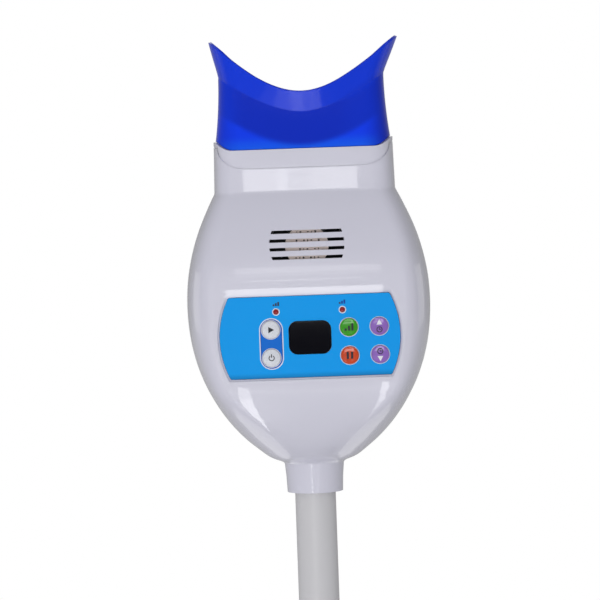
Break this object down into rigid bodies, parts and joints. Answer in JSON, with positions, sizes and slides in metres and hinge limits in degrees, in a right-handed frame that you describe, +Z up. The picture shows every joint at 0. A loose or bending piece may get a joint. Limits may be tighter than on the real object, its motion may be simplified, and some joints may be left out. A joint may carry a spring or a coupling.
{
  "type": "teeth whitening lamp",
  "caption": "Teeth whitening lamp: an oval head with a keypad, air slots and a blue saddle-shaped mouth shield, on a sliding pole with a round weighted stand.",
  "frame": {"origin": "centre of the stand's underside, on the pole's axis", "axes": "+Z up along the pole, -Y out of the keypad at the front, +X to the keypad's right"},
  "size_m": [0.15, 0.1503, 0.4635],
  "materials": {
    "pad_rubber": "dull black",
    "weight_iron": "raw",
    "shell_white": "glossy white",
    "stand_white": "satin white",
    "pole_white": "satin white",
    "guide_white": "matt white",
    "knob_black": "satin black",
    "lead_black": "dull black",
    "lead_red": "dull red",
    "lead_yellow": "dull yellow",
    "lead_grey": "dull grey",
    "steel": "zinc plated",
    "clear_window": "clear, polished",
    "reflector": "polished",
    "aluminium": "matt",
    "board_green": "solder mask",
    "overlay_blue": "printed film",
    "display_black": "smoked, polished",
    "module_grey": "matt",
    "lamp_red": "clear red",
    "key_white": "glossy",
    "key_green": "glossy",
    "key_orange": "glossy",
    "key_purple": "glossy",
    "shield_blue": "translucent blue"
  },
  "bodies": {
    "base": {"base_pad": "pad_rubber", "base_weight": "weight_iron", "base_cover": "shell_white", "base_bolt": "steel", "pole_socket": "stand_white", "socket_liner": "guide_white", "dc_inlet": "knob_black", "base_lead": "lead_black"},
    "clamp_shoe": {"clamp_shoe": "guide_white"},
    "clamp_knob": {"clamp_knob": "knob_black"},
    "pole": {"pole": "pole_white", "pole_lead": "lead_black", "retaining_collar": "steel", "cross_pin": "steel"},
    "head": {"buzzer": "knob_black", "control_board": "board_green", "control_board_screw_1": "steel", "control_board_screw_2": "steel", "control_board_screw_3": "steel", "control_board_screw_4": "steel", "display_module": "module_grey", "display_window": "display_black", "driver_board": "board_green", "driver_screw_1": "steel", "driver_screw_2": "steel", "fan_frame": "knob_black", "fan_lead": "lead_yellow", "fan_screw_1": "steel", "fan_screw_2": "steel", "front_shell": "shell_white", "head_lead": "lead_black", "heat_sink": "aluminium", "heat_sink_screw_1": "steel", "heat_sink_screw_2": "steel", "indicator_high": "lamp_red", "indicator_low": "lamp_red", "keypad_overlay": "overlay_blue", "led_board": "aluminium", "led_board_screw_1": "steel", "led_board_screw_2": "steel", "led_lead": "lead_red", "light_window": "clear_window", "neck_bush": "guide_white", "panel_lead": "lead_grey", "port_bezel": "shell_white", "rear_shell": "shell_white", "reflector_tray": "reflector", "shell_screw_1": "steel", "shell_screw_2": "steel", "shell_screw_3": "steel", "shell_screw_4": "steel"},
    "mouth_shield": {"mouth_shield": "shield_blue"},
    "fan_rotor": {"fan_rotor": "knob_black"},
    "start_button": {"start_button": "key_white"},
    "power_button": {"power_button": "key_white"},
    "level_button": {"level_button": "key_green"},
    "pause_button": {"pause_button": "key_orange"},
    "time_up_button": {"time_up_button": "key_purple"},
    "time_down_button": {"time_down_button": "key_purple"}
  },
  "joints": [
    {"name": "pole_slide", "type": "slide", "parent": "base", "child": "pole", "axis": [0, 0, 1], "range_m": [0, 0.04]},
    {"name": "head_swivel", "type": "hinge", "parent": "pole", "child": "head", "pos_m": [0, 0, 0.2363], "axis": [0, 0, 1], "range_deg": [-160, 160]},
    {"name": "shield_pull", "type": "slide", "parent": "head", "child": "mouth_shield", "axis": [0, 0, 1], "range_m": [0, 0.06]},
    {"name": "fan_spin", "type": "hinge", "parent": "head", "child": "fan_rotor", "pos_m": [0, -0.03615, 0.33966], "axis": [0, -0.9762, 0.2167], "continuous": true},
    {"name": "clamp_shoe_slide", "type": "slide", "parent": "base", "child": "clamp_shoe", "axis": [1, 0, 0], "range_m": [0, 0.00125]},
    {"name": "clamp_knob_turn", "type": "hinge", "parent": "clamp_shoe", "child": "clamp_knob", "pos_m": [0.0126, 0, 0.084], "axis": [1, 0, 0], "range_deg": [0, 360]},
    {"name": "start_press", "type": "slide", "parent": "head", "child": "start_button", "axis": [0, 1, 0], "range_m": [0, 0.0005], "stiffness_N_per_m": 1000},
    {"name": "power_press", "type": "slide", "parent": "head", "child": "power_button", "axis": [0, 1, 0], "range_m": [0, 0.0005], "stiffness_N_per_m": 1000},
    {"name": "level_press", "type": "slide", "parent": "head", "child": "level_button", "axis": [0, 1, 0], "range_m": [0, 0.0005], "stiffness_N_per_m": 1000},
    {"name": "pause_press", "type": "slide", "parent": "head", "child": "pause_button", "axis": [0, 1, 0], "range_m": [0, 0.0005], "stiffness_N_per_m": 1000},
    {"name": "time_up_press", "type": "slide", "parent": "head", "child": "time_up_button", "axis": [0, 1, 0], "range_m": [0, 0.0005], "stiffness_N_per_m": 1000},
    {"name": "time_down_press", "type": "slide", "parent": "head", "child": "time_down_button", "axis": [0, 1, 0], "range_m": [0, 0.0005], "stiffness_N_per_m": 1000}
  ],
  "couplings": [
    {"joint": "clamp_shoe_slide", "follows": "clamp_knob_turn", "m_per_rad": 0.00019894}
  ]
}
